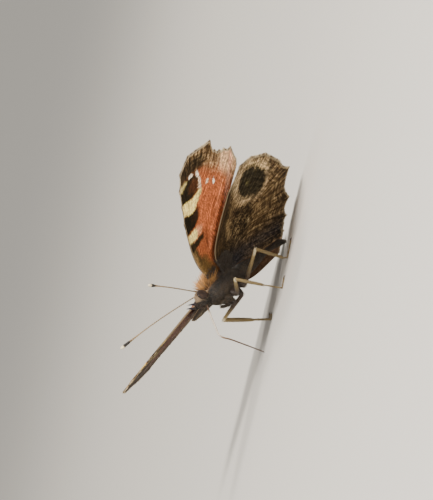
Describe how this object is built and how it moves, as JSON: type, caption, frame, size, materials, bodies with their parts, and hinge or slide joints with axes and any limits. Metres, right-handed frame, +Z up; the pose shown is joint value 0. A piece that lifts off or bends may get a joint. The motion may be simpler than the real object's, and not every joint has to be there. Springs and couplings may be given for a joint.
{
  "type": "peacock butterfly",
  "caption": "Life-size peacock butterfly standing on its legs, wings half raised, feelers spread and tongue reaching down.",
  "frame": {"origin": "on the floor, under the middle of the model's bounding box", "axes": "+X to the animal's left across the spread wings, +Y towards its tail, +Z up; the head faces -Y"},
  "size_m": [0.0572, 0.0356, 0.0238],
  "materials": {
    "fur": "soft brown hair",
    "forewing": "matt scales, rust red above and dark brown below",
    "hindwing": "matt scales, rust red above and near black below",
    "eye": "dark, finely faceted, slightly glossy",
    "leg": "tan scales",
    "feeler": "dark brown, ringed with pale scales, cream at the tip",
    "proboscis": "horny, dark brown"
  },
  "bodies": {
    "root": {"head": "fur", "thorax": "fur", "abdomen": "fur", "eye_l": "eye", "eye_r": "eye", "palp_l": "fur", "palp_r": "fur", "proboscis": "proboscis", "antenna_l": "feeler", "antenna_r": "feeler", "forewing_l": "forewing", "forewing_r": "forewing", "hindwing_l": "hindwing", "hindwing_r": "hindwing", "foreleg_l": "leg", "foreleg_r": "leg", "midleg_l": "leg", "midleg_r": "leg", "hindleg_l": "leg", "hindleg_r": "leg"}
  },
  "joints": []
}
